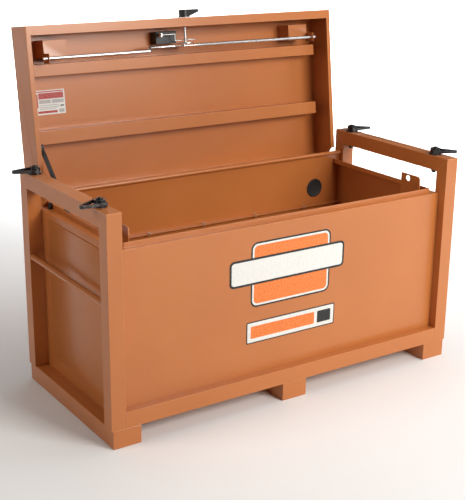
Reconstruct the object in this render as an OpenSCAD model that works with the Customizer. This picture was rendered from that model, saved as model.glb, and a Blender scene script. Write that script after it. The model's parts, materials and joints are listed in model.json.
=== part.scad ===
// Job-site tool box: a sheet-steel chest in a welded post frame, standing on three skids.
// Millimetres. +Z is up, +X is the user's right, the front faces -Y.
// The origin is on the floor, at the centre of the footprint of the four posts.
// Lid pieces are drawn in hinge coordinates: the hinge axis is the origin, -Y runs to the
// closed lid's front edge and +Z to its top sheet. lid_frame() swings them open.

/* [Overall] */
// Width over the corner posts
overall_w = 1700; // [1400:1:2000]
// Depth over the corner posts
depth = 762; // [640:1:920]
// Height of the end frames above the floor
frame_h = 921; // [880:1:1105]

/* [Frame] */
// Side of the square posts and rails
post_s = 62; // [52:1:75]
// Wall of the posts and rails
post_wall = 3; // [2:0.5:5]
// Diameter of the end hand rails
rail_d = 25; // [20:1:30]
// Height of the hand rails above the floor
rail_z = 566; // [460:1:680]

/* [Skids] */
// Height of the skids
skid_h = 76; // [62:1:92]
// Width of a skid
skid_w = 120; // [100:1:145]
// Wall of the boxed skids
skid_wall = 4; // [3:0.5:6]
// Set-in of the outer skids from the post faces
skid_inset = 6; // [0:1:10]

/* [Chest] */
// Sheet thickness of the chest and lid
sheet = 2.5; // [2:0.5:4]
// Set-back of the front panel from the post faces
front_recess = 40; // [30:1:50]
// Set-back of the rear panel from the post faces
rear_recess = 32; // [28:1:40]
// Height of the chest shoulder above the floor
shoulder_z = 766; // [700:1:780]
// Rise of the rain lip above the shoulder
lip_rise = 20; // [12:1:26]
// Height of the front and rear sills
sill_h = 66; // [50:1:80]
// Radius of the cable port in the rear panel
port_r = 41; // [30:1:48]

/* [Lid] */
// Opening angle of the lid from closed
lid_open = 97; // [90:1:105]
// Depth of the lid from its lip to its top sheet
lid_h = 150; // [130:1:180]
// Gap between the lid and each post
lid_gap = 18; // [10:1:25]
// Width of the front flange round the lid's mouth
flange_front = 38; // [30:1:45]
// Depth of the lid's stiffeners
stiff_d = 77; // [60:1:90]

/* [Lock] */
// Diameter of the locking rods
rod_d = 14; // [10:1:16]
// Travel of each locking rod
rod_travel = 40; // [32:1:48]
// Radius of the hole in each strike
strike_hole_r = 13; // [10:0.5:15]

/* [Gas strut] */
// Diameter of the strut tube
tube_d = 18; // [16:1:22]
// Diameter of the strut's piston rod
piston_d = 8; // [6:1:10]
// Height of the lower strut stud above the floor
strut_low_z = 524; // [450:1:600]
// Distance of the lower strut stud from the front
strut_low_front = 295; // [250:1:340]

/* [Lifting eyes] */
// Radius of the swivel body
eye_r = 22; // [18:1:24]
// Reach of the link's tip from the bolt axis
eye_reach = 95; // [85:1:110]
// Bolt radius
eye_bolt_r = 8; // [6:0.5:9]

/* [Hidden] */
$fn = 48;

tiny = 0.01;                               // overshoot of a cut past a face
front_y = -depth / 2;                      // front face of the posts
rear_y = depth / 2;                        // rear face of the posts
inner_x = overall_w / 2 - post_s;          // inner faces of the posts
mid_x = overall_w / 2 - post_s / 2;        // centre of the posts
panel_y = front_y + front_recess;          // outer face of the front panel
back_y = rear_y - rear_recess;             // outer face of the rear panel
lip_top = shoulder_z + lip_rise;
ledge_front = 23;                          // shoulder width along the front
ledge_side = 36;                           // shoulder width along the ends
lip_x = inner_x - ledge_side;              // outer face of the side lips
lip_y = panel_y + ledge_front;             // inner face of the front lip
sill_top = skid_h + sill_h;

// Rear sheet: its cable port, and the shelf angle under it.
cable_x = inner_x - 149;
cable_z = shoulder_z - 112;
shelf_z = cable_z - 80;
shelf_w = 26;
shelf_drop = 28;
bolt_pitch = 285;
bolt_r = 8;

// Lid and hinge, the latter measured from the chest it closes.
hinge_y = back_y + 11;
hinge_z = lip_top + 4;
lid_x = inner_x - lid_gap;                 // outer faces of the lid's sides
lid_len = hinge_y - panel_y;               // hinge axis to the lid's front face
lid_back = 7;                              // hinge axis to the lid's rear face
roll_r = 9;                                // rolled rim of the rear panel
roll_z = hinge_z + 27;
flange_side = 20;
notch_r = 46;
knuckle_r = 5.5;
hinge_pin_r = 2.5;
leaf_t = 2;
leaf_h = 36;
knuckles = 23;
hinge_len = 2 * lid_x - 40;
knuckle_pitch = hinge_len / knuckles;
knuckle_gap = 0.8;
run_gap = 0.06;                            // running clearance on radius

// Lock: the rods run along X near the lid's front.
rod_a = lid_len - 121;                     // hinge axis to the right rod
rod_shift = 13;                            // the left rod's outer part is this much lower
rod_b = 25;                                // rods above the lip plane
spindle_b = rod_b + 31;
spindle_r = 5;
crank_pin_r = 4;
crank_arm = rod_travel / 2;                // pin offset in X and in Z at either end
jog_x = 169;                               // where the left rod starts to step down
jog_w = 33;                                // length of that step along X
bend_r = rod_d / 2 + 0.4;                  // forged corners of the step
crank_r = 36;                              // crank disc
case_x0 = -125;                            // ends of the lock's case
case_x1 = -22;
case_b = spindle_b + crank_r + 5;          // its face above the lip plane
rod_end_x = inner_x - 93;                  // outer end of a withdrawn rod
strike_x = inner_x - 69;                   // outer face of each strike
strike_t = 4;
strike_w = 118;
strike_top = hinge_z + rod_b + 19;
strike_round = 15;

// Gas strut.
strut_x = lip_x - 16;                      // centre plane of the strut
strut_up_a = 212;                          // hinge axis to the upper stud, along the lid
strut_up_b = 35;                           // upper stud above the lip plane
stud_r = 5;
up_y = hinge_y - strut_up_a * cos(lid_open) + strut_up_b * sin(lid_open);
up_z = hinge_z + strut_up_a * sin(lid_open) + strut_up_b * cos(lid_open);
low_y = front_y + strut_low_front;
strut_len = sqrt(pow(up_y - low_y, 2) + pow(up_z - strut_low_z, 2));
strut_tilt = atan2(up_z - strut_low_z, up_y - low_y);
shut_y = hinge_y - strut_up_a;             // upper stud with the lid shut
shut_z = hinge_z + strut_up_b;
strut_short = sqrt(pow(shut_y - low_y, 2) + pow(shut_z - strut_low_z, 2));
strut_stroke = strut_len - strut_short;
tube_len = strut_short - 28;               // upper stud to the tube's mouth

// Lifting eyes.
eye_front = front_y + post_s + 48;
eye_rear = rear_y - post_s - 20;
eye_top = 27.5;                            // top of the swivel body above the rail
eye_pin_r = 5;
eye_pin_z = 15;                            // link's pins above the rail
eye_foot = 5;                              // height of the body's foot
eye_lift = 0.3;                            // running gap under the foot
link_t = 11;
link_gap = 1.5;                            // between the body and the link's arms
link_w = 9;                                // width of the link's bar
link_boss_r = 8.5;                         // round ends of the arms
link_run = 16;                             // straight part of the arms
// Which way each link points, as in the store: left front, right front, left rear, right rear.
turn_fl = 197;
turn_fr = -42;
turn_rl = 176;
turn_rr = -20;

orange = "#B9724A";
black = "#141416";
steel = "#B9BCC0";

// ---- helpers ----

// Hinge axis to the outer part of a locking rod.
function rod_out(right) = right ? rod_a : rod_a - rod_shift;

module at_side(right) {
    mirror([right ? 0 : 1, 0, 0]) children();
}

module x_rod(r, len) {
    rotate([0, 90, 0]) cylinder(r = r, h = len, center = true);
}

module x_rod_from(x0, x1, r) {
    translate([x0, 0, 0]) rotate([0, 90, 0]) cylinder(r = r, h = x1 - x0);
}

module lid_frame() {
    translate([0, hinge_y, hinge_z]) rotate([-lid_open, 0, 0]) children();
}

// Box given by two corners.
module block(lo, hi) {
    translate(lo) cube(hi - lo);
}

// Outline in the Y-Z plane, pushed along X from x0 to x1.
module yz_sheet(points, x0, x1) {
    translate([x0, 0, 0]) rotate([90, 0, 90]) linear_extrude(x1 - x0) polygon(points);
}

// Outline in the X-Z plane, pushed along Y from y0 to y1.
module xz_sheet(points, y0, y1) {
    translate([0, y1, 0]) rotate([90, 0, 0]) linear_extrude(y1 - y0) polygon(points);
}

// Flat bar with round ends of two sizes.
module taper_bar(r1, r2, len) {
    lean = asin((r1 - r2) / len);
    circle(r1);
    translate([len, 0]) circle(r2);
    polygon([[r1 * sin(lean), r1 * cos(lean)], [len + r2 * sin(lean), r2 * cos(lean)],
             [len + r2 * sin(lean), -r2 * cos(lean)], [r1 * sin(lean), -r1 * cos(lean)]]);
}

// ---- frame ----

// Square post with a mitred top, drawn for the right front corner.
module post(right, front) {
    w = post_wall;
    top = frame_h;
    color(orange) at_side(right) mirror([0, front ? 0 : 1, 0])
        translate([inner_x, front_y, 0]) difference() {
            yz_sheet([[0, skid_h], [post_s, skid_h], [post_s, top - post_s], [0, top]],
                     0, post_s);
            yz_sheet([[w, skid_h - 1], [post_s - w, skid_h - 1],
                      [post_s - w, top - post_s + w], [w, top - w]], w, post_s - w);
        }
}

// Square rail with mitred ends, joining the post tops.
module top_rail(right) {
    w = post_wall;
    top = frame_h;
    over = post_s - w;
    color(orange) at_side(right) translate([inner_x, 0, 0]) difference() {
        yz_sheet([[front_y, top], [rear_y, top], [rear_y - post_s, top - post_s],
                  [front_y + post_s, top - post_s]], 0, post_s);
        yz_sheet([[front_y + w, top - w], [rear_y - w, top - w],
                  [rear_y - over, top - over], [front_y + over, top - over]],
                 w, post_s - w);
        for (y = [eye_front, eye_rear])
            translate([post_s / 2, y, top - post_s - 1]) cylinder(r = eye_bolt_r + 0.5,
                                                                 h = post_s + 2);
    }
}

module front_sill() {
    s = sheet;
    color(orange) yz_sheet([[front_y, skid_h], [panel_y, skid_h], [panel_y, skid_h + s],
                            [front_y + s, skid_h + s], [front_y + s, sill_top - s],
                            [panel_y, sill_top - s], [panel_y, sill_top],
                            [front_y, sill_top]], -inner_x, inner_x);
}

module rear_sill() {
    s = sheet;
    color(orange) yz_sheet([[rear_y, skid_h], [back_y, skid_h], [back_y, skid_h + s],
                            [rear_y - s, skid_h + s], [rear_y - s, sill_top - s],
                            [back_y, sill_top - s], [back_y, sill_top],
                            [rear_y, sill_top]], -inner_x, inner_x);
}

module skid(x) {
    w = skid_wall;
    color(orange) translate([x - skid_w / 2, 0, 0]) difference() {
        block([0, front_y, 0], [skid_w, rear_y, skid_h]);
        block([w, front_y + w, w], [skid_w - w, rear_y - w, skid_h - w]);
    }
}

module hand_rail(right) {
    color(orange) at_side(right)
        translate([overall_w / 2 - rail_d / 2 - 2, front_y + post_s, rail_z])
            rotate([-90, 0, 0]) difference() {
                cylinder(d = rail_d, h = depth - 2 * post_s);
                translate([0, 0, -1]) cylinder(d = rail_d - 5, h = depth - 2 * post_s + 2);
            }
}

// ---- chest ----

module floor_pan() {
    color(orange) block([-inner_x + sheet, panel_y + sheet, skid_h],
                        [inner_x - sheet, back_y - sheet, skid_h + sheet]);
}

// Front sheet with a shoulder, a rain lip and folded side returns.
module front_panel() {
    s = sheet;
    color(orange) union() {
        yz_sheet([[panel_y, skid_h], [panel_y + s, skid_h], [panel_y + s, shoulder_z - s],
                  [lip_y, shoulder_z - s], [lip_y, shoulder_z], [panel_y, shoulder_z]],
                 -inner_x, inner_x);
        block([-lip_x, lip_y - s, shoulder_z - s], [lip_x, lip_y, lip_top]);
        for (right = [false, true])
            at_side(right) block([inner_x - s, panel_y, skid_h],
                                 [inner_x, lip_y, shoulder_z]);
    }
}

module rear_panel() {
    s = sheet;
    color(orange) difference() {
        union() {
            block([-inner_x, back_y - s, skid_h], [inner_x, back_y, roll_z]);
            translate([0, back_y - roll_r, roll_z]) x_rod(roll_r, 2 * inner_x - 12);
        }
        translate([0, back_y - roll_r, roll_z]) x_rod(roll_r - s, 2 * inner_x);
        translate([cable_x, back_y - 2 * s, cable_z]) rotate([-90, 0, 0])
            cylinder(r = port_r, h = 3 * s);
    }
}

// End sheet with shoulder and lip, and a shallow raised field between the posts.
module end_panel(right) {
    s = sheet;
    field = 4;
    y0 = front_y + post_s + 3;
    y1 = rear_y - 2 * post_s;
    color(orange) at_side(right) union() {
        xz_sheet([[inner_x, skid_h], [inner_x, shoulder_z], [lip_x, shoulder_z],
                  [lip_x, lip_top], [lip_x - s, lip_top], [lip_x - s, shoulder_z - s],
                  [inner_x - s, shoulder_z - s], [inner_x - s, skid_h]],
                 lip_y, back_y - s);
        translate([0, 0, sill_top]) linear_extrude(shoulder_z - sill_top - 30)
            polygon([[inner_x - tiny, y0], [inner_x + field, y0 + 2 * field],
                     [inner_x + field, y1 - 2 * field], [inner_x - tiny, y1]]);
    }
}

module shelf_angle() {
    s = sheet;
    y = back_y - s;
    z = shelf_z;
    color(orange) yz_sheet([[y, z - shelf_drop], [y, z], [y - shelf_w, z],
                            [y - shelf_w, z - s], [y - s, z - s], [y - s, z - shelf_drop]],
                           -inner_x + s, inner_x - s);
}

module shelf_bolts() {
    nut_h = 7;
    color(steel) for (i = [-2:2])
        translate([i * bolt_pitch, back_y - sheet - shelf_w / 2 - 2, shelf_z]) {
            cylinder(r = bolt_r, h = 5);
            translate([0, 0, -sheet - nut_h]) cylinder(r = bolt_r, h = nut_h, $fn = 6);
        }
}

module cable_port_plug() {
    color(black) translate([cable_x, back_y - sheet, cable_z]) rotate([-90, 0, 0]) {
        translate([0, 0, -4]) cylinder(r = port_r + 4, h = 4);
        cylinder(r = port_r, h = sheet);
        translate([0, 0, sheet]) cylinder(r = port_r + 3, h = 3);
    }
}

module hinge_bar() {
    color(orange) block([-inner_x, back_y, hinge_z - leaf_h - 12],
                        [inner_x, back_y + 4, hinge_z - 6]);
}

// One leaf of the full-length hinge, in hinge coordinates. The lid's leaf takes the odd
// knuckles and stands up, the chest's takes the even ones and hangs down.
module hinge_leaf(lid) {
    up = lid ? 1 : -1;
    root = lid_back - leaf_t;
    color(orange) difference() {
        union() {
            mirror([0, 0, lid ? 0 : 1]) block([-hinge_len / 2, -lid_back, knuckle_r - 1],
                                              [hinge_len / 2, -root, leaf_h]);
            for (i = [0:knuckles - 1]) if ((i % 2 == 1) == lid)
                translate([-hinge_len / 2 + (i + 0.5) * knuckle_pitch, 0, 0]) {
                    x_rod(knuckle_r, knuckle_pitch - knuckle_gap);
                    mirror([0, 0, lid ? 0 : 1])
                        block([-(knuckle_pitch - knuckle_gap) / 2, -lid_back, 0],
                              [(knuckle_pitch - knuckle_gap) / 2, 0, knuckle_r]);
                }
        }
        x_rod(hinge_pin_r + run_gap, hinge_len + 2);
    }
}

module hinge_leaf_chest() {
    translate([0, hinge_y, hinge_z]) hinge_leaf(false);
}

module hinge_pin() {
    color(steel) translate([0, hinge_y, hinge_z]) x_rod(hinge_pin_r, hinge_len + 4);
}

// Strike: an upright plate on a foot welded to the end panel, with the rod's hole.
module strike(right) {
    t = strike_t;
    y0 = panel_y + 46;
    foot_z = shoulder_z - 24;
    color(orange) at_side(right) {
        difference() {
            translate([strike_x - t, 0, 0]) rotate([90, 0, 90]) linear_extrude(t) union() {
                translate([y0, foot_z]) square([strike_w, strike_top - strike_round - foot_z]);
                translate([y0 + strike_round, foot_z])
                    square([strike_w - strike_round, strike_top - foot_z]);
                translate([y0 + strike_round, strike_top - strike_round])
                    circle(strike_round);
            }
            translate([strike_x, hinge_y - rod_out(right), hinge_z + rod_b])
                x_rod(strike_hole_r, 4 * t);
        }
        block([strike_x, y0, foot_z], [inner_x - sheet, y0 + strike_w, foot_z + t]);
    }
}

module strut_stud_chest() {
    color(steel) at_side(false)
        translate([0, low_y, strut_low_z]) {
            x_rod_from(inner_x - sheet - 5, inner_x - sheet, 16);
            x_rod_from(strut_x + 8, inner_x - sheet - 5, stud_r);
        }
}

// Rubber rest between the left shoulder and the closed lid's flange.
module lid_bumper() {
    color(black) at_side(false)
        translate([inner_x - 0.75 * ledge_side, rear_y - post_s - 22, shoulder_z])
            cylinder(r = ledge_side / 4 - 0.5, h = hinge_z - shoulder_z - 0.3);
}

// ---- lid, in hinge coordinates ----

// Clearance round the hinge at both ends, where the rear panel's roll passes.
module hinge_notch() {
    for (right = [false, true])
        at_side(right) x_rod_from(lid_x - flange_side - 1, lid_x + 1, notch_r);
}

// Folded sheet: top, front with its flange, and rear.
module lid_shell() {
    s = sheet;
    f = -lid_len;
    r = -lid_back;
    color(orange) lid_frame() difference() {
        yz_sheet([[f, 0], [f + flange_front, 0], [f + flange_front, s], [f + s, s],
                  [f + s, lid_h - s], [r - s, lid_h - s], [r - s, 0], [r, 0], [r, lid_h],
                  [f, lid_h]], -lid_x + s, lid_x - s);
        hinge_notch();
        translate([0, f - 1, spindle_b]) rotate([-90, 0, 0])
            cylinder(r = spindle_r + 0.5, h = s + 2);
    }
}

// End cap with its flange.
module lid_end(right) {
    s = sheet;
    color(orange) lid_frame() difference() {
        at_side(right) union() {
            block([lid_x - s, -lid_len, 0], [lid_x, -lid_back, lid_h]);
            block([lid_x - flange_side, -lid_len + flange_front, 0],
                  [lid_x, -lid_back - s, s]);
        }
        hinge_notch();
    }
}

// Folded hat section under the top sheet; near and far are its edges from the hinge.
module lid_stiffener(near, far) {
    s = sheet;
    top = lid_h - s;
    low = top - stiff_d;
    half = lid_x - 50;
    color(orange) lid_frame() difference() {
        block([-half, -far, low], [half, -near, top]);
        block([-half - 1, -far + s, low + s], [half + 1, -near - s, top + 1]);
    }
}

// Folded guard over a padlock, with the ear that guides the locking rod.
module padlock_guard(right) {
    s = sheet;
    top = lid_h - s;
    x0 = rod_end_x - 125;
    x1 = rod_end_x - 20;
    y0 = -rod_a - 60;
    y1 = -rod_a + 12;
    low = 62;
    rod_y = -rod_out(right);
    color(orange) lid_frame() at_side(right) difference() {
        union() {
            difference() {
                block([x0, y0, low], [x1, y1, top]);
                block([x0 + s, y0 + s, low + s], [x1 - s, y1 + 1, top + 1]);
            }
            block([x1 - s, rod_y - 20, rod_b - 16], [x1, rod_y + 20, low + s]);
        }
        translate([x1, rod_y, rod_b]) x_rod(rod_d / 2 + run_gap, 4 * s);
    }
}

module lock_case() {
    w = 4;
    top = lid_h - sheet;
    color(black) lid_frame() difference() {
        block([case_x0, -rod_a - 66, case_b], [case_x1, -rod_a - 12, top]);
        block([case_x0 + w, -rod_a - 66 + w, case_b + w],
              [case_x1 - w, -rod_a - 11, top + 1]);
    }
}

// Bent wire between the lock case and the crank.
module lock_wire() {
    r = 2.5;
    y0 = -rod_a - 52;
    y1 = -rod_a - 24;
    z = spindle_b + 14;
    color(steel) lid_frame() {
        translate([0, y0, z]) x_rod_from(-110, -44, r);
        translate([-44, y0, z]) sphere(r);
        translate([-44, y0, z]) rotate([-90, 0, 0]) cylinder(r = r, h = y1 - y0);
        translate([-44, y1, z]) sphere(r);
        translate([0, y1, z]) x_rod_from(-44, 58, r);
        block([-116, y0 - 8, z - 5], [-110, y0 + 8, case_b]);
    }
}

module lid_label() {
    top = lid_h - sheet;
    far = lid_len - 266;
    color("white") lid_frame() block([-lid_x + 78, -far, top - 0.8],
                                     [-lid_x + 210, -far + 103, top]);
}

module strut_stud_lid() {
    color(steel) lid_frame() at_side(false)
        translate([0, -strut_up_a, strut_up_b]) {
            x_rod_from(lid_x - sheet - 4, lid_x - sheet, 14);
            x_rod_from(strut_x - 9, lid_x - sheet - 4, stud_r);
        }
}

// ---- lock, in hinge coordinates ----

module on_spindle() {
    lid_frame() translate([0, -lid_len, spindle_b]) rotate([90, 0, 0]) children();
}

// Drawn with +Z out of the lid's front, +X along the lever and +Y towards the top sheet.
module lid_handle() {
    top = 34;
    tip_t = 9;
    reach = 62;
    color(black) on_spindle() {
        translate([0, 0, 1]) cylinder(r = 27, h = 5);
        difference() {
            translate([0, 0, 6]) linear_extrude(top - 6) taper_bar(22, 12, reach);
            xz_sheet([[16, 5], [reach + 20, top - tip_t], [reach + 20, 5]], -30, 30);
            translate([0, 0, top - 5]) cylinder(r = 9, h = 6);
        }
    }
}

module lock_spindle() {
    color(steel) on_spindle() translate([0, 0, -(lid_len - rod_a - 14)])
        cylinder(r = spindle_r, h = lid_len - rod_a - 13);
}

module crank_plate() {
    color(steel) on_spindle() translate([0, 0, -(lid_len - rod_a)]) {
        translate([0, 0, 9]) cylinder(r = crank_r, h = 5);
        for (end = [-1, 1]) translate([end * crank_arm, end * crank_arm, -4])
            cylinder(r = crank_pin_r, h = 13);
    }
}

// Locking rod in the lid: an end plate with a slot for the crank's pin, then the rod,
// which the left one reaches through a crank in the bar.
module lock_rod(right) {
    slot = crank_pin_r + 1;
    side = right ? 1 : -1;
    arm_z = spindle_b - side * (crank_arm * 1.2);
    near = crank_arm - 4;
    color(steel) lid_frame() translate([0, -rod_a, 0]) {
        difference() {
            translate([-side * crank_arm, 0, arm_z]) mirror([right ? 0 : 1, 0, 0])
                block([-12, -2, -16], [crank_arm + 42, 2, 16]);
            translate([-side * crank_arm, 0, arm_z])
                block([-slot, -3, -slot - 5], [slot, 3, slot + 5]);
        }
        if (right) translate([0, 0, rod_b]) x_rod_from(38, rod_end_x, rod_d / 2);
        else {
            fall = arm_z - rod_b;
            jog = sqrt(pow(jog_w, 2) + pow(rod_shift, 2) + pow(fall, 2));
            translate([0, 0, arm_z]) x_rod_from(-jog_x, -38, rod_d / 2);
            translate([-jog_x, 0, arm_z]) {
                sphere(bend_r);
                rotate([0, acos(-fall / jog), atan2(rod_shift, -jog_w)])
                    cylinder(d = rod_d, h = jog);
            }
            translate([0, rod_shift, rod_b]) {
                translate([-jog_x - jog_w, 0, 0]) sphere(bend_r);
                x_rod_from(-rod_end_x, -jog_x - jog_w, rod_d / 2);
            }
        }
    }
}

// ---- gas strut, at the left end only ----

// Along the strut: the origin is the upper stud and +Y points to the lower one.
module strut_frame() {
    at_side(false) translate([strut_x, up_y, up_z]) rotate([strut_tilt + 180, 0, 0])
        children();
}

module strut_tube() {
    color(black) strut_frame() difference() {
        union() {
            x_rod(11, 14);
            block([-6, 0, -7], [6, 22, 7]);
            translate([0, 16, 0]) rotate([-90, 0, 0]) cylinder(d = tube_d, h = tube_len - 16);
        }
        x_rod(stud_r + run_gap, 40);
        translate([0, 24, 0]) rotate([-90, 0, 0])
            cylinder(d = tube_d - 3, h = tube_len - 30);
        translate([0, tube_len - 8, 0]) rotate([-90, 0, 0])
            cylinder(d = piston_d + 2 * run_gap, h = 10);
    }
}

module strut_piston() {
    color(steel) strut_frame() {
        translate([0, strut_len - strut_short + 30, 0]) rotate([-90, 0, 0])
            cylinder(d = piston_d, h = strut_short - 38);
        translate([0, strut_len, 0]) x_rod(11, 14);
    }
}

// ---- lifting eyes ----

module eye_at(right, front, turn) {
    translate([(right ? 1 : -1) * mid_x, front ? eye_front : eye_rear, frame_h])
        rotate([0, 0, turn]) children();
}

module each_eye() {
    for (right = [false, true]) for (front = [true, false])
        eye_at(right, front, 0) children();
}

module eye_bolts() {
    color(black) each_eye() {
        translate([0, 0, -post_s - 20]) cylinder(r = eye_bolt_r, h = post_s + 20 + eye_top + 0.5);
        translate([0, 0, eye_top + 0.5]) cylinder(r = 1.5 * eye_bolt_r, h = 5);
    }
}

module eye_washers() {
    color(steel) each_eye() translate([0, 0, -post_s - 3]) difference() {
        cylinder(r = 19, h = 3);
        translate([0, 0, -1]) cylinder(r = eye_bolt_r + run_gap, h = 5);
    }
}

module eye_nuts() {
    color(black) each_eye() translate([0, 0, -post_s - 3 - 12]) difference() {
        cylinder(r = 1.7 * eye_bolt_r, h = 12, $fn = 6);
        translate([0, 0, -1]) cylinder(r = eye_bolt_r + run_gap, h = 14);
    }
}

// Swivel body with a foot and the two pins that carry the link.
module eye_body(right, front, turn) {
    pin = eye_r + link_gap + link_w - 1;
    color(black) eye_at(right, front, turn) difference() {
        union() {
            translate([0, 0, eye_lift]) cylinder(r = eye_r, h = eye_top - eye_lift);
            translate([0, 0, eye_lift]) cylinder(r = eye_r + 6.5, h = eye_foot - eye_lift);
            translate([0, 0, eye_pin_z]) rotate([90, 0, 0])
                cylinder(r = eye_pin_r, h = 2 * pin, center = true);
        }
        translate([0, 0, -1]) cylinder(r = eye_bolt_r + run_gap, h = eye_top + 2);
    }
}

// Outline with parallel sides from start to link_run, drawn in to a round tip at len.
module link_outline(half, tip, start, len) {
    a = atan2(half, link_run - len) - acos(tip / norm([len - link_run, half]));
    tx = len + (tip - tiny) * cos(a);
    ty = (tip - tiny) * sin(a);
    polygon([[start, -half], [link_run, -half], [tx, -ty], [tx, ty], [link_run, half],
             [start, half]]);
    translate([len, 0]) circle(tip);
}

// Pointed link round the body, which folds on its pins.
module eye_link(right, front, turn) {
    inside = eye_r + link_gap;
    outside = inside + link_w;
    tip = 13;
    color(black) eye_at(right, front, turn) translate([0, 0, eye_pin_z]) difference() {
        union() {
            translate([0, 0, -link_t / 2]) linear_extrude(link_t) difference() {
                link_outline(outside, tip, 0, eye_reach - tip);
                link_outline(inside, tip - 8, -1, eye_reach - tip - 2);
            }
            for (side = [-1, 1]) translate([0, side * (inside + link_w / 2), 0])
                rotate([90, 0, 0]) cylinder(r = link_boss_r, h = link_w + 1, center = true);
        }
        rotate([90, 0, 0]) cylinder(r = eye_pin_r + run_gap, h = 4 * outside, center = true);
    }
}

// Plain badges on the front panel, each [centre x, centre z, width, height].
module front_badges() {
    badge_t = 0.6;
    badges = [[-5, 563, 396, 272], [-19, 580, 570, 112], [3, 320, 448, 94]];
    color("white") for (b = badges)
        translate([b[0] - b[2] / 2, panel_y - badge_t, b[1] - b[3] / 2])
            cube([b[2], badge_t, b[3]]);
}

post(false, true);  // post_front_left
post(true, true);  // post_front_right
post(false, false);  // post_rear_left
post(true, false);  // post_rear_right
top_rail(false);  // top_rail_left
top_rail(true);  // top_rail_right
front_sill();
rear_sill();
skid(-overall_w / 2 + skid_inset + skid_w / 2);  // skid_left
skid(0);  // skid_middle
skid(overall_w / 2 - skid_inset - skid_w / 2);  // skid_right
floor_pan();
front_panel();
rear_panel();
end_panel(false);  // end_panel_left
end_panel(true);  // end_panel_right
hand_rail(false);  // hand_rail_left
hand_rail(true);  // hand_rail_right
shelf_angle();
shelf_bolts();
cable_port_plug();
hinge_bar();
hinge_leaf_chest();
hinge_pin();
strike(false);  // strike_left
strike(true);  // strike_right
strut_stud_chest();
eye_bolts();
eye_washers();
eye_nuts();
lid_bumper();
front_badges();
lid_shell();
lid_end(false);  // lid_end_left
lid_end(true);  // lid_end_right
lid_stiffener(lid_len - 206, lid_len - 158);  // lid_stiffener_upper
lid_stiffener(lid_len - 486, lid_len - 430);  // lid_stiffener_lower
lid_frame() hinge_leaf(true);  // hinge_leaf_lid
padlock_guard(false);  // padlock_guard_left
padlock_guard(true);  // padlock_guard_right
lock_case();
lock_wire();
lid_label();
strut_stud_lid();
lid_handle();
lock_spindle();
crank_plate();
lock_rod(false);  // lock_rod_left
lock_rod(true);  // lock_rod_right
strut_tube();
strut_piston();
eye_body(false, true, turn_fl);  // eye_body_front_left
eye_body(true, true, turn_fr);  // eye_body_front_right
eye_body(false, false, turn_rl);  // eye_body_rear_left
eye_body(true, false, turn_rr);  // eye_body_rear_right
eye_link(false, true, turn_fl);  // eye_link_front_left
eye_link(true, true, turn_fr);  // eye_link_front_right
eye_link(false, false, turn_rl);  // eye_link_rear_left
eye_link(true, false, turn_rr);  // eye_link_rear_right
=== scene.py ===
# Job-site tool chest on skids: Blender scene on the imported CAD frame. Metres, +Z up, front faces -Y.
import json
import math

import bmesh
import bpy
from mathutils import Matrix, Vector


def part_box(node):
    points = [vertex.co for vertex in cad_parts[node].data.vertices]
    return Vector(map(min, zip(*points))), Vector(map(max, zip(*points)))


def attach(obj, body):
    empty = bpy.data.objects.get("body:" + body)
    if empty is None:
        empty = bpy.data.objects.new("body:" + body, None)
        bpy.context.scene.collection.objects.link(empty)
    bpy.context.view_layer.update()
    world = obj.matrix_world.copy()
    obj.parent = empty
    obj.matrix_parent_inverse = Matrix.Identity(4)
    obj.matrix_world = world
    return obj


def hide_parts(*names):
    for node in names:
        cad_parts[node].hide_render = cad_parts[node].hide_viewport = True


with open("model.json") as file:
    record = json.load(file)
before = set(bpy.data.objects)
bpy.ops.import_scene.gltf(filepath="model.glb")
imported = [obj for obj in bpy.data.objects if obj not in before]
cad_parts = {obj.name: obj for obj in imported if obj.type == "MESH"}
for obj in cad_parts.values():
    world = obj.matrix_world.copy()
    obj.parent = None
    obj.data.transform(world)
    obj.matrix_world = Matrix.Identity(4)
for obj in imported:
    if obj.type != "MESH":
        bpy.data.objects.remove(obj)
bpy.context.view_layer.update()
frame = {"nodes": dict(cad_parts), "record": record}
NODES = frame["nodes"]
RECORD = frame["record"]
BODY = {n: b for b, names in RECORD["behaviour"]["bodies"].items() for n in names}
JOINT = {j["name"]: j for j in RECORD["behaviour"]["joints"]}
SLOT = {s["node"]: s["material_slot"] for s in RECORD["subparts"]}

# ---- camera ----

YAW, PITCH, ROLL = (math.radians(v) for v in (33.77, -17.98, 0.66))
EYE = (-2.46232, -3.58686, 1.95339)

cam = bpy.data.objects.new("camera", bpy.data.cameras.new("camera"))
bpy.context.scene.collection.objects.link(cam)
bpy.context.scene.camera = cam
ahead = Vector((math.sin(YAW) * math.cos(PITCH), math.cos(YAW) * math.cos(PITCH), math.sin(PITCH)))
right = Vector((math.cos(YAW), -math.sin(YAW), 0.0))
up = right.cross(ahead)
right_r = right * math.cos(ROLL) + up * math.sin(ROLL)
up_r = up * math.cos(ROLL) - right * math.sin(ROLL)
turn = Matrix((right_r, up_r, -ahead)).transposed().to_4x4()
cam.matrix_world = Matrix.Translation(EYE) @ turn
cam.data.sensor_fit = "HORIZONTAL"
cam.data.sensor_width = 36.0
cam.data.lens = 82.38
cam.data.clip_end = 200.0

# ---- materials ----


def graph(name):
    m = bpy.data.materials.new(name)
    m.use_nodes = True
    return m, m.node_tree, m.node_tree.nodes["Principled BSDF"]


def add(tree, kind, **inputs):
    n = tree.nodes.new("ShaderNode" + kind)
    for key, value in inputs.items():
        if hasattr(value, "is_output"):
            tree.links.new(value, n.inputs[key])
        else:
            n.inputs[key].default_value = value
    return n


def noise(tree, scale, detail=2.0, stretch=(1, 1, 1)):
    co = add(tree, "TexCoord")
    mp = add(tree, "Mapping", Vector=co.outputs["Object"], Scale=stretch)
    return add(tree, "TexNoise", Vector=mp.outputs["Vector"], Scale=scale,
               Detail=detail).outputs["Fac"]


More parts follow.
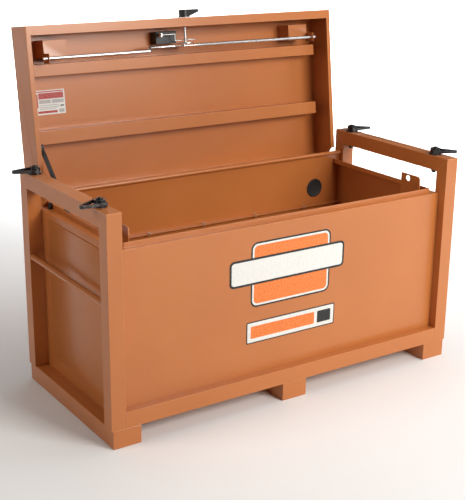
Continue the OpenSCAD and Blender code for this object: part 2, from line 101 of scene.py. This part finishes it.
def calc(tree, op, a, b=0.0, clamp=False):
    n = tree.nodes.new("ShaderNodeMath")
    n.operation = op
    n.use_clamp = clamp
    for i, v in enumerate((a, b)):
        if hasattr(v, "is_output"):
            tree.links.new(v, n.inputs[i])
        else:
            n.inputs[i].default_value = v
    return n.outputs[0]


def blend_color(tree, fac, a, b):
    n = tree.nodes.new("ShaderNodeMix")
    n.data_type = "RGBA"
    for key, v in ((0, fac), (6, a), (7, b)):
        if hasattr(v, "is_output"):
            tree.links.new(v, n.inputs[key])
        else:
            n.inputs[key].default_value = v if key == 0 else (*v, 1.0)
    return n.outputs[2]


def spread(tree, value, low, high):
    n = add(tree, "MapRange", Value=value)
    n.inputs["To Min"].default_value = low
    n.inputs["To Max"].default_value = high
    n.inputs["From Min"].default_value = 0.3
    n.inputs["From Max"].default_value = 0.7
    return n.outputs["Result"]


def edges(tree, radius, gain):
    """1 near convex and concave edges, 0 on flat sheet."""
    bev = tree.nodes.new("ShaderNodeBevel")
    bev.samples = 6
    bev.inputs["Radius"].default_value = radius
    geo = tree.nodes.new("ShaderNodeNewGeometry")
    dot = tree.nodes.new("ShaderNodeVectorMath")
    dot.operation = "DOT_PRODUCT"
    tree.links.new(bev.outputs["Normal"], dot.inputs[0])
    tree.links.new(geo.outputs["Normal"], dot.inputs[1])
    return calc(tree, "MULTIPLY", calc(tree, "SUBTRACT", 1.0, dot.outputs["Value"]), gain, True)


def bumps(tree, bsdf, layers):
    """Stacks bumps on the shader's normal, each (height, distance in metres)."""
    last = None
    for height, distance in layers:
        n = add(tree, "Bump", Height=height, Distance=distance)
        if last:
            tree.links.new(last, n.inputs["Normal"])
        last = n.outputs["Normal"]
    tree.links.new(last, bsdf.inputs["Normal"])


def enamel():
    m, t, b = graph("orange_enamel")
    tone = blend_color(t, spread(t, noise(t, 1.4, 3.0), 0.0, 1.0), (0.47, 0.148, 0.036),
                       (0.54, 0.178, 0.046))
    tone = blend_color(t, spread(t, noise(t, 5.0, 2.0), 0.0, 0.12), tone, (0.45, 0.132, 0.032))
    # Lighter orange near folds and edges: partly edge wear, partly a painted highlight where the
    # rounded edges catch the light.
    edge_wear_and_painted_highlight = calc(t, "MULTIPLY", edges(t, 0.004, 5.0), spread(t, noise(t, 60.0, 3.0), 0.25, 0.75))
    tone = blend_color(t, edge_wear_and_painted_highlight, tone, (0.78, 0.36, 0.16))
    t.links.new(tone, b.inputs["Base Color"])
    t.links.new(spread(t, noise(t, 14.0, 2.0), 0.28, 0.33), b.inputs["Roughness"])
    bumps(t, b, ((noise(t, 2.6, 1.0), 0.0025), (noise(t, 420.0, 2.0), 0.00005)))
    b.inputs["Specular IOR Level"].default_value = 0.5
    b.inputs["Coat Weight"].default_value = 0.15
    b.inputs["Coat Roughness"].default_value = 0.22
    return m


def black_gloss():
    m, t, b = graph("black_forging")
    # Lighter grey near edges: partly edge wear, partly a painted highlight on the rounded rims.
    edge_wear_and_painted_highlight = calc(t, "MULTIPLY", edges(t, 0.0025, 4.0), spread(t, noise(t, 240.0, 3.0), 0.0, 0.6))
    t.links.new(blend_color(t, edge_wear_and_painted_highlight, (0.008, 0.008, 0.010), (0.13, 0.13, 0.14)),
                b.inputs["Base Color"])
    t.links.new(spread(t, noise(t, 150.0, 3.0), 0.20, 0.34), b.inputs["Roughness"])
    bumps(t, b, ((noise(t, 160.0, 3.0), 0.0004), (noise(t, 900.0, 2.0), 0.00006)))
    b.inputs["Coat Weight"].default_value = 0.4
    return m


def black_plastic():
    m, t, b = graph("black_moulding")
    t.links.new(blend_color(t, noise(t, 30.0, 3.0), (0.010, 0.010, 0.012), (0.018, 0.018, 0.020)),
                b.inputs["Base Color"])
    t.links.new(spread(t, noise(t, 90.0, 3.0), 0.34, 0.48), b.inputs["Roughness"])
    bumps(t, b, ((noise(t, 1400.0, 2.0), 0.00006),))
    return m


def zinc():
    m, t, b = graph("zinc_steel")
    b.inputs["Metallic"].default_value = 1.0
    t.links.new(blend_color(t, noise(t, 22.0, 4.0), (0.60, 0.59, 0.57), (0.78, 0.78, 0.79)),
                b.inputs["Base Color"])
    t.links.new(spread(t, noise(t, 1.0, 3.0, (30, 900, 900)), 0.20, 0.38), b.inputs["Roughness"])
    bumps(t, b, ((noise(t, 1.0, 2.0, (25, 1100, 1100)), 0.00004),))
    return m


def chrome():
    m, t, b = graph("chromed_rod")
    b.inputs["Metallic"].default_value = 1.0
    t.links.new(blend_color(t, noise(t, 15.0), (0.70, 0.70, 0.71), (0.80, 0.80, 0.81)),
                b.inputs["Base Color"])
    t.links.new(spread(t, noise(t, 60.0, 3.0), 0.08, 0.15), b.inputs["Roughness"])
    return m


def rubber():
    m, t, b = graph("rubber")
    t.links.new(blend_color(t, noise(t, 70.0, 4.0), (0.010, 0.010, 0.010), (0.022, 0.021, 0.020)),
                b.inputs["Base Color"])
    t.links.new(spread(t, noise(t, 200.0, 3.0), 0.55, 0.75), b.inputs["Roughness"])
    bumps(t, b, ((noise(t, 800.0, 3.0), 0.0001),))
    return m


def film(name, color):
    m, t, b = graph(name)
    low = tuple(v * 0.93 for v in color)
    t.links.new(blend_color(t, noise(t, 45.0, 3.0), low, color), b.inputs["Base Color"])
    t.links.new(spread(t, noise(t, 120.0, 2.0), 0.24, 0.34), b.inputs["Roughness"])
    bumps(t, b, ((noise(t, 500.0, 2.0), 0.00003),))
    return m


ENAMEL, FORGED, MOULDED, ZINC, CHROME, RUBBER = (enamel(), black_gloss(), black_plastic(), zinc(),
                                                 chrome(), rubber())
WHITE, RED, INK, SIGNAL, GREY = (film("film_white", (0.78, 0.77, 0.74)),
                                 film("film_red", (0.42, 0.028, 0.018)),
                                 film("film_black", (0.012, 0.012, 0.013)),
                                 film("film_orange", (0.82, 0.20, 0.035)),
                                 film("film_grey", (0.42, 0.41, 0.40)))
BY_SLOT = {"orange_paint": ENAMEL, "black_steel": FORGED, "zinc_steel": ZINC, "rubber": RUBBER,
           "label": WHITE}
OWN = {"lid_handle": MOULDED, "lock_case": MOULDED, "strut_tube": MOULDED, "strut_piston": CHROME}
for name, obj in NODES.items():
    obj.data.materials.clear()
    obj.data.materials.append(OWN.get(name, BY_SLOT[SLOT[name]]))

# ---- mesh helpers ----


def new_object(name, bm, materials, body, stands_for=(), smooth=35):
    me = bpy.data.meshes.new(name)
    bm.normal_update()
    bm.to_mesh(me)
    bm.free()
    me.shade_smooth()
    me.set_sharp_from_angle(angle=math.radians(smooth))
    for m in materials:
        me.materials.append(m)
    obj = bpy.data.objects.new(name, me)
    bpy.context.scene.collection.objects.link(obj)
    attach(obj, body)
    if stands_for:
        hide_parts(*stands_for)
    return obj


def cad_mesh(node):
    bm = bmesh.new()
    bm.from_mesh(NODES[node].data)
    bmesh.ops.remove_doubles(bm, verts=bm.verts, dist=5e-6)
    if not node.startswith("end_panel"):
        bmesh.ops.dissolve_limit(bm, angle_limit=math.radians(0.4), verts=bm.verts,
                                 edges=bm.edges)
    return bm


def reach(face, edge):
    """How far a face reaches from one of its edges."""
    a = edge.verts[0].co
    d = (edge.verts[1].co - a).normalized()
    return max(((v.co - a) - d * (v.co - a).dot(d)).length for v in face.verts)


def soften(node, radius, fine, steps=3, mitre=False):
    """Gives a CAD piece its folded or forged edges: radius on its folds, fine on cut edges.

    mitre leaves the 45 degree joint faces between post and rail sharp.
    """
    bm = cad_mesh(node)
    layer = bm.edges.layers.float.new("bevel_weight_edge")
    for e in bm.edges:
        if len(e.link_faces) != 2 or e.calc_face_angle(0.0) < math.radians(35):
            continue
        f, g = e.link_faces
        if mitre and any(abs(abs(h.normal.y) - abs(h.normal.z)) < 0.05 and abs(h.normal.y) > 0.5
                         for h in (f, g)):
            continue
        fold = min(reach(f, e), reach(g, e)) > 2.6 * radius
        e[layer] = 1.0 if fold else fine / radius
    obj = new_object(node + "_finish", bm, [NODES[node].data.materials[0]], BODY[node],
                     (node,))
    mod = obj.modifiers.new("folds", "BEVEL")
    mod.width = radius
    mod.segments = steps
    mod.limit_method = "WEIGHT"
    mod.harden_normals = True
    mod.use_clamp_overlap = True


def bead(bm, points, r, closed=False):
    """A rippled weld bead along a polyline of points."""
    path = []
    pts = [Vector(p) for p in points]
    ends = list(zip(pts, pts[1:] + pts[:1])) if closed else list(zip(pts, pts[1:]))
    for a, b in ends:
        n = max(2, int((b - a).length / 0.0016))
        path += [a.lerp(b, i / n) for i in range(n)]
    if not closed:
        path.append(pts[-1])
    rings, run = [], 0.0
    for i, p in enumerate(path):
        q = path[(i + 1) % len(path)] if (closed or i + 1 < len(path)) else p
        d = (q - path[i - 1]) if (closed or i) else (q - p)
        d = d.normalized() if d.length > 0 else Vector((1, 0, 0))
        side = d.cross(Vector((0.31, 0.62, 0.72))).normalized()
        over = d.cross(side)
        run += (p - path[i - 1]).length if i else 0.0
        w = r * (1.0 + 0.16 * math.sin(run / 0.0045 * 2 * math.pi)
                 + 0.08 * math.sin(run * 210.0 + 1.3))
        if not closed and i in (0, len(path) - 1):
            w *= 0.35
        rings.append([bm.verts.new(p + (side * math.cos(k * math.pi / 4)
                                        + over * math.sin(k * math.pi / 4)) * w)
                      for k in range(8)])
    last = len(rings) if closed else len(rings) - 1
    for i in range(last):
        a, b = rings[i], rings[(i + 1) % len(rings)]
        for k in range(8):
            bm.faces.new((a[k], a[(k + 1) % 8], b[(k + 1) % 8], b[k]))
    if not closed:
        bm.faces.new(rings[0][::-1])
        bm.faces.new(rings[-1])


def lathe(bm, profile, origin, axis, sides=48, material=0):
    """Turns (radius, height) pairs about axis through origin; radius 0 closes an end."""
    axis = Vector(axis).normalized()
    side = axis.orthogonal().normalized()
    over = axis.cross(side)
    rows = []
    for r, h in profile:
        c = Vector(origin) + axis * h
        rows.append([bm.verts.new(c)] if r == 0 else
                    [bm.verts.new(c + (side * math.cos(2 * math.pi * k / sides)
                                       + over * math.sin(2 * math.pi * k / sides)) * r)
                     for k in range(sides)])
    for a, b in zip(rows, rows[1:]):
        for k in range(sides):
            j = (k + 1) % sides
            q = [a[k % len(a)], a[j % len(a)], b[j % len(b)], b[k % len(b)]]
            q = [v for i, v in enumerate(q) if v not in q[:i]]
            if len(q) > 2:
                bm.faces.new(q).material_index = material


def plate(bm, place, lo, hi, corner=0.0, material=0):
    """A thin plate with round corners: lo and hi are (u, v, height); place maps them to space."""
    (u0, v0, h0), (u1, v1, h1) = lo, hi
    ring = []
    spots = ((u1, v1, 0), (u0, v1, 1), (u0, v0, 2), (u1, v0, 3))
    for u, v, q in spots:
        cu = u - math.copysign(corner, u - (u0 + u1) / 2)
        cv = v - math.copysign(corner, v - (v0 + v1) / 2)
        for k in range(7 if corner else 1):
            a = math.pi / 2 * (q + k / 6) if corner else 0
            ring.append((cu + corner * math.cos(a), cv + corner * math.sin(a)) if corner
                        else (u, v))
    low = [bm.verts.new(place(u, v, h0)) for u, v in ring]
    top = [bm.verts.new(place(u, v, h1)) for u, v in ring]
    made = [bm.faces.new(top), bm.faces.new(low[::-1])]
    for i in range(len(ring)):
        j = (i + 1) % len(ring)
        made.append(bm.faces.new((low[i], low[j], top[j], top[i])))
    for f in made:
        f.material_index = material


# ---- the frame, chest and lid: sheet and tube with real fold radii ----

for n in ("post_front_left", "post_front_right", "post_rear_left", "post_rear_right",
          "top_rail_left", "top_rail_right"):
    soften(n, 0.0028, 0.0028, 3, mitre=True)
for n in ("skid_left", "skid_middle", "skid_right"):
    soften(n, 0.0030, 0.0030, 3)
for n in ("front_sill", "rear_sill", "front_panel", "rear_panel", "end_panel_left",
          "end_panel_right", "lid_shell", "lid_end_left", "lid_end_right",
          "lid_stiffener_upper", "lid_stiffener_lower"):
    soften(n, 0.0026, 0.0008, 3)
for n in ("strike_left", "strike_right", "padlock_guard_left", "padlock_guard_right",
          "shelf_angle", "hinge_bar"):
    soften(n, 0.0014, 0.0007, 2)
for n in ("hinge_leaf_chest", "hinge_leaf_lid", "hand_rail_left", "hand_rail_right",
          "shelf_bolts", "crank_plate", "lock_rod_left", "lock_rod_right", "strut_stud_chest",
          "strut_stud_lid", "eye_nuts", "eye_washers", "lid_bumper"):
    soften(n, 0.0007, 0.0005, 2)

# ---- weld beads ----

sill_lo, sill_hi = (Vector(v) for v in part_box("front_sill"))
rear_lo, rear_hi = (Vector(v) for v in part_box("rear_sill"))
beads = bmesh.new()
for s in (-1, 1):
    x = s * sill_hi.x
    bead(beads, [(x, sill_lo.y + 0.0004, sill_lo.z + 0.004), (x, sill_lo.y + 0.0004,
                                                             sill_hi.z - 0.003)], 0.0021)
    bead(beads, [(x, rear_hi.y - 0.0004, rear_lo.z + 0.004), (x, rear_hi.y - 0.0004,
                                                             rear_hi.z - 0.003)], 0.0021)
    side = "right" if s > 0 else "left"
    lo, hi = (Vector(v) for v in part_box("hand_rail_" + side))
    r = (hi.z - lo.z) / 2
    mid = (lo + hi) / 2
    for y in (lo.y + 0.001, hi.y - 0.001):
        bead(beads, [(mid.x + r * math.cos(k * math.pi / 18), y,
                      mid.z + r * math.sin(k * math.pi / 18)) for k in range(36)], 0.0022, True)
    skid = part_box("skid_" + side)
    for end in ("front", "rear"):
        plo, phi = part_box(f"post_{end}_{side}")
        y = plo[1] if end == "front" else phi[1]
        xs = sorted((max(plo[0], skid[0][0]), min(phi[0], skid[1][0])))
        bead(beads, [(xs[0] + 0.006, y, plo[2]), (xs[1] - 0.006, y, plo[2])], 0.0016)
        inner = skid[1][0] if s > 0 else skid[0][0]
        for a, b in ((0.01, 0.025), (0.037, 0.052)):
            yy = (plo[1] + a, plo[1] + b)
            bead(beads, [(inner, yy[0], plo[2]), (inner, yy[1], plo[2])], 0.0022)
new_object("weld_beads_frame", beads, [ENAMEL], "chest")

# ---- cable port: a moulded grommet with a domed blank ----

lo, hi = (Vector(v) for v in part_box("cable_port_plug"))
c = (lo + hi) / 2
R = (hi.x - lo.x) / 2
depth = hi.y - lo.y
port = bmesh.new()
lathe(port, [(0, 0.0030), (R * 0.30, 0.0026), (R * 0.62, 0.0014), (R * 0.70, 0.0004),
             (R * 0.74, 0.0002), (R * 0.78, -0.0012), (R * 0.83, -0.0030), (R * 0.90, -0.0034),
             (R * 0.97, -0.0026), (R, -0.0006), (R, 0.0008), (R * 0.90, 0.0008),
             (R * 0.90, depth - 0.0040), (R * 0.96, depth - 0.0040), (R * 0.95, depth - 0.0018),
             (R * 0.88, depth - 0.0010), (0, depth - 0.0010)],
      (c.x, lo.y + 0.0036, c.z), (0, 1, 0), 64)
bmesh.ops.recalc_face_normals(port, faces=port.faces)
new_object("cable_port_grommet", port, [RUBBER], "chest", ("cable_port_plug",))

# ---- badges: plain shapes, no marks ----

face_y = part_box("front_badges")[1][1]


def on_front(u, v, h):
    return Vector((u, face_y - h, v))


badge = bmesh.new()
for lo_, hi_, level, corner, m in (
        ((-0.203, 0.427), (0.193, 0.699), 0, 0.030, 1),
        ((-0.196, 0.434), (0.186, 0.692), 1, 0.024, 0),
        ((-0.188, 0.442), (0.178, 0.684), 2, 0.018, 2),
        ((-0.304, 0.524), (0.266, 0.636), 3, 0.020, 1),
        ((-0.295, 0.533), (0.257, 0.627), 4, 0.013, 0),
        ((-0.221, 0.273), (0.227, 0.367), 0, 0.006, 1),
        ((-0.216, 0.278), (0.222, 0.362), 1, 0.004, 0),
        ((-0.200, 0.294), (0.120, 0.346), 2, 0.004, 2),
        ((0.136, 0.294), (0.206, 0.346), 2, 0.004, 1)):
    plate(badge, on_front, (*lo_, 0.0), (*hi_, 0.0003 + 0.0002 * level), corner, m)
bmesh.ops.recalc_face_normals(badge, faces=badge.faces)
new_object("front_badges_film", badge, [WHITE, INK, SIGNAL], "chest", ("front_badges",))

# ---- lid label: plain blocks of colour where the writing would be ----

hinge = Vector(JOINT["lid_hinge"]["pos_m"])
LID_OPEN = 97.0         # degrees from shut to the rest pose
OPEN = Matrix.Rotation(math.radians(-LID_OPEN), 4, "X")


def lid_point(x, a, b):
    """x, distance from the hinge along the closed lid, and height above its lip."""
    return hinge + OPEN @ Vector((x, -a, b))


LABEL_W, LABEL_H = 0.132, 0.103
LABEL_X = -0.692        # the label's left edge
LABEL_FAR = 0.435       # hinge to the label's far edge
SHEET_B = 0.1475        # inner face of the lid's top sheet, above its lip


def on_lid(u, v, h):
    return lid_point(LABEL_X + u, LABEL_FAR - LABEL_H + v, SHEET_B - h)


label = bmesh.new()
plate(label, on_lid, (0, 0, 0), (LABEL_W, LABEL_H, 0.0003), 0.003, 0)
for lo_, hi_, m in (((0.004, 0.094), (0.126, 0.099), 1), ((0.012, 0.066), (0.126, 0.091), 1),
                    ((0.003, 0.030), (0.009, 0.088), 1), ((0.014, 0.047), (0.066, 0.062), 3),
                    ((0.071, 0.047), (0.126, 0.062), 3), ((0.014, 0.038), (0.104, 0.041), 3),
                    ((0.014, 0.030), (0.118, 0.033), 3), ((0.014, 0.023), (0.090, 0.026), 3),
                    ((0.006, 0.006), (0.094, 0.016), 1), ((0.102, 0.006), (0.126, 0.020), 3),
                    ((0.110, 0.032), (0.126, 0.037), 2)):
    plate(label, on_lid, (*lo_, 0.0002), (*hi_, 0.0005), 0.0, m)
bmesh.ops.recalc_face_normals(label, faces=label.faces)
new_object("lid_label_film", label, [WHITE, RED, INK, GREY], "lid", ("lid_label",))

# ---- forged eyes, bolts, handle and strut ----

for n in NODES:
    if n.startswith("eye_body_"):
        soften(n, 0.0030, 0.0016, 4)
    if n.startswith("eye_link_"):
        soften(n, 0.0032, 0.0026, 4)
soften("lid_handle", 0.0035, 0.0015, 4)
soften("lock_case", 0.0030, 0.0012, 3)
for n in ("strut_tube", "strut_piston"):
    soften(n, 0.0016, 0.0008, 3)

bolts = bmesh.new()
RAIL_TOP = 0.921
BOLT_R = 0.0079
BOLT_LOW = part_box("eye_bolts")[0][2] - RAIL_TOP
for key in ("front_left", "front_right", "rear_left", "rear_right"):
    p = Vector(JOINT[f"eye_{key}_swivel"]["pos_m"])
    base = Vector((p.x, p.y, RAIL_TOP))
    # socket-head screw: recessed hexagon, rounded rim, then the shank and its tail
    lathe(bolts, [(0, 0.0290), (0.0044, 0.0290), (0.0050, 0.0296)], base, (0, 0, 1), 6)
    lathe(bolts, [(0.0050, 0.0296), (0.0050, 0.0322), (0.0056, 0.0330), (0.0102, 0.0330),
                  (BOLT_R * 1.5 - 0.0006, 0.0326), (BOLT_R * 1.5, 0.0316), (BOLT_R * 1.5, 0.0288),
                  (BOLT_R * 1.5 - 0.0006, 0.0280), (BOLT_R, 0.0280), (BOLT_R, BOLT_LOW + 0.0018),
                  (BOLT_R - 0.0012, BOLT_LOW), (0, BOLT_LOW)], base, (0, 0, 1), 48)
new_object("eye_bolts_socket_head", bolts, [FORGED], "chest", ("eye_bolts",))

# ---- floor, lights, world ----

floor_bm = bmesh.new()
bmesh.ops.create_grid(floor_bm, x_segments=8, y_segments=8, size=45.0)
floor_me = bpy.data.meshes.new("floor")
floor_bm.to_mesh(floor_me)
floor_bm.free()
floor = bpy.data.objects.new("floor", floor_me)
bpy.context.scene.collection.objects.link(floor)
fm, ft, fb = graph("pale_floor")
ft.links.new(blend_color(ft, noise(ft, 1.5, 2.0), (0.86, 0.86, 0.86), (0.90, 0.90, 0.90)),
             fb.inputs["Base Color"])
fb.inputs["Roughness"].default_value = 0.9
floor_me.materials.append(fm)

world = bpy.data.worlds.new("studio")
bpy.context.scene.world = world
world.use_nodes = True
world.node_tree.nodes["Background"].inputs["Color"].default_value = (1.0, 1.0, 1.0, 1.0)
world.node_tree.nodes["Background"].inputs["Strength"].default_value = 0.13


def area(name, spot, aim, size, power, tint=(1.0, 1.0, 1.0)):
    """A rectangular light at spot, facing aim."""
    data = bpy.data.lights.new(name, "AREA")
    data.shape = "RECTANGLE"
    data.size, data.size_y = size
    data.energy = power
    data.color = tint
    obj = bpy.data.objects.new(name, data)
    bpy.context.scene.collection.objects.link(obj)
    obj.location = spot
    obj.rotation_euler = (Vector(aim) - Vector(spot)).to_track_quat("-Z", "Y").to_euler()


area("key", (1.6, -5.0, 3.2), (0.0, 0.0, 0.5), (2.6, 2.2), 290.0, (1.0, 0.98, 0.93))
area("left", (-5.5, 0.8, 3.4), (-0.9, 0.0, 0.9), (2.0, 1.4), 85.0, (1.0, 0.93, 0.84))
area("top", (0.3, 0.2, 4.6), (0.0, 0.0, 0.4), (3.5, 2.5), 45.0)
area("behind", (4.2, 3.6, 4.2), (5.4, 6.5, 0.0), (7.0, 3.0), 900.0)
area("beside", (5.0, -1.6, 4.0), (7.5, 0.5, 0.0), (3.0, 5.0), 330.0)
area("far_left", (2.0, 9.0, 5.0), (5.0, 14.0, 0.0), (9.0, 6.0), 2600.0)
area("far_right", (12.0, 8.0, 5.0), (12.0, 14.0, 0.0), (9.0, 6.0), 2600.0)
bpy.context.scene.view_settings.view_transform = "Standard"
